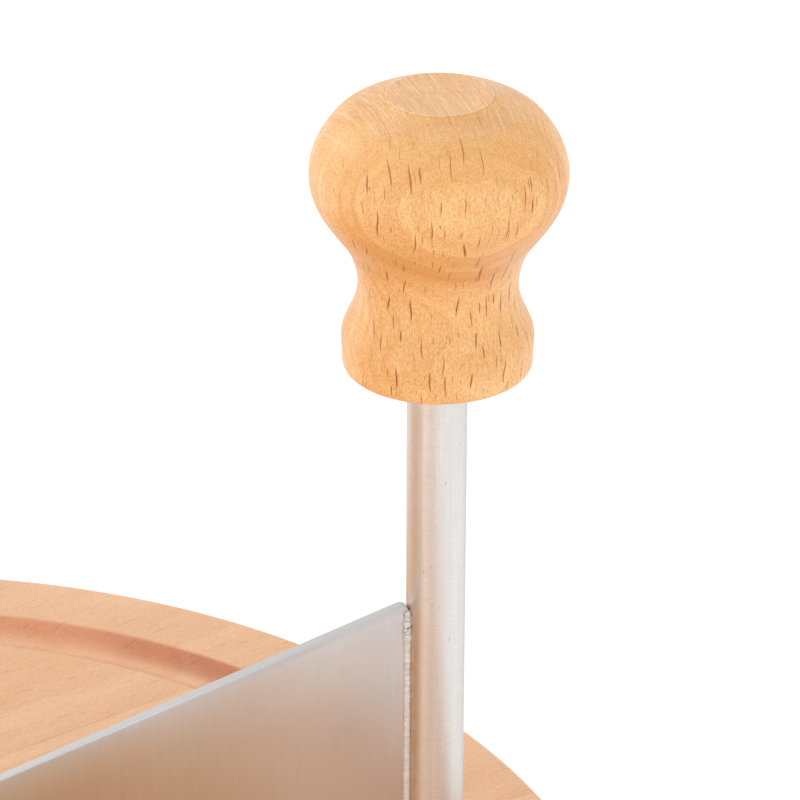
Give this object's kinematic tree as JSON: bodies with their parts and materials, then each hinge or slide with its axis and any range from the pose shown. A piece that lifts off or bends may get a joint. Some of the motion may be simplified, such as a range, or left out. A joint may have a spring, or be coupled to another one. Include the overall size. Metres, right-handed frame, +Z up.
{
  "type": "cheese curler",
  "caption": "Round beech board with a juice groove and a central spindle, on which a steel scraper plate is cranked round by a turned wooden knob.",
  "frame": {"origin": "centre of the round board, on the plane that the four rubber feet rest on", "axes": "+Z up along the spindle's axis; +X from the spindle towards the crank's post and knob at rest; +Y completes a right-handed frame"},
  "size_m": [0.22, 0.22, 0.153],
  "materials": {
    "board_beech": "oiled satin",
    "knob_beech": "satin lacquer",
    "brushed_stainless": "brushed",
    "ground_stainless": "fine ground round bar",
    "weld_bead": "as welded",
    "zinc_plate": "bright zinc plated",
    "nylon": "moulded",
    "brass_bush": "turned",
    "foot_rubber": "moulded matte"
  },
  "bodies": {
    "base": {"board": "board_beech", "rubber_feet": "foot_rubber", "foot_washers": "zinc_plate", "foot_screws": "zinc_plate", "spindle": "ground_stainless", "spindle_seat_washer": "brushed_stainless", "under_washer": "zinc_plate", "spring_washer": "zinc_plate", "spindle_nut": "zinc_plate"},
    "bush": {"hub_bush": "nylon", "bush_retaining_ring": "nylon"},
    "crank": {"hub_sleeve": "ground_stainless", "scraper_plate": "brushed_stainless", "post": "ground_stainless", "hub_weld": "weld_bead", "post_weld": "weld_bead", "knob_circlip": "zinc_plate"},
    "knob": {"knob": "knob_beech", "knob_bush": "brass_bush"}
  },
  "joints": [
    {"name": "crank_lift", "type": "slide", "parent": "base", "child": "bush", "axis": [0, 0, 1], "range_m": [0, 0.1]},
    {"name": "crank_turn", "type": "hinge", "parent": "bush", "child": "crank", "pos_m": [0, 0, 0.035], "axis": [0, 0, 1], "continuous": true},
    {"name": "knob_spin", "type": "hinge", "parent": "crank", "child": "knob", "pos_m": [0.089, 0, 0.115], "axis": [0, 0, 1], "continuous": true}
  ]
}
